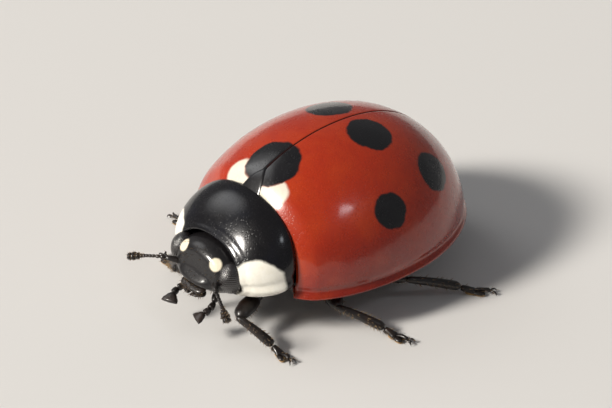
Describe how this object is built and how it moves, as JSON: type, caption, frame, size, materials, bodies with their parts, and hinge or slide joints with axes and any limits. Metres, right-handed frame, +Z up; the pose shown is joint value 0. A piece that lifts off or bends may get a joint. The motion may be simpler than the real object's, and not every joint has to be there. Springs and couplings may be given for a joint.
{
  "type": "seven-spot ladybird beetle",
  "caption": "Life-size still model of a seven-spot ladybird beetle standing on its feet with its wing cases closed, for display or as an insect in a scene.",
  "frame": {"origin": "on the floor under the middle of the box round the animal", "axes": "-Y towards the head, +X towards the animal's left, +Z up from the floor"},
  "size_m": [0.0073, 0.0076, 0.0036],
  "materials": {
    "red_shell": "glossy orange-red chitin with black spots and two white patches by the scutellum",
    "black_shell": "shiny black chitin, with white corners on the neck shield",
    "eye": "glossy black faceted eye",
    "limb": "black to dark brown chitin with fine pale hairs"
  },
  "bodies": {
    "root": {"wing_case_left": "red_shell", "wing_case_right": "red_shell", "neck_shield": "black_shell", "front_chest": "black_shell", "scutellum": "black_shell", "chest": "black_shell", "abdomen": "black_shell", "head": "black_shell", "eye_left": "eye", "eye_right": "eye", "upper_lip": "limb", "palp_left": "limb", "feeler_left": "limb", "palp_right": "limb", "feeler_right": "limb", "hip_front_left": "limb", "thigh_front_left": "limb", "shin_front_left": "limb", "foot_front_left": "limb", "hip_front_right": "limb", "thigh_front_right": "limb", "shin_front_right": "limb", "foot_front_right": "limb", "hip_middle_left": "limb", "thigh_middle_left": "limb", "shin_middle_left": "limb", "foot_middle_left": "limb", "hip_middle_right": "limb", "thigh_middle_right": "limb", "shin_middle_right": "limb", "foot_middle_right": "limb", "hip_hind_left": "limb", "thigh_hind_left": "limb", "shin_hind_left": "limb", "foot_hind_left": "limb", "hip_hind_right": "limb", "thigh_hind_right": "limb", "shin_hind_right": "limb", "foot_hind_right": "limb"}
  },
  "joints": []
}
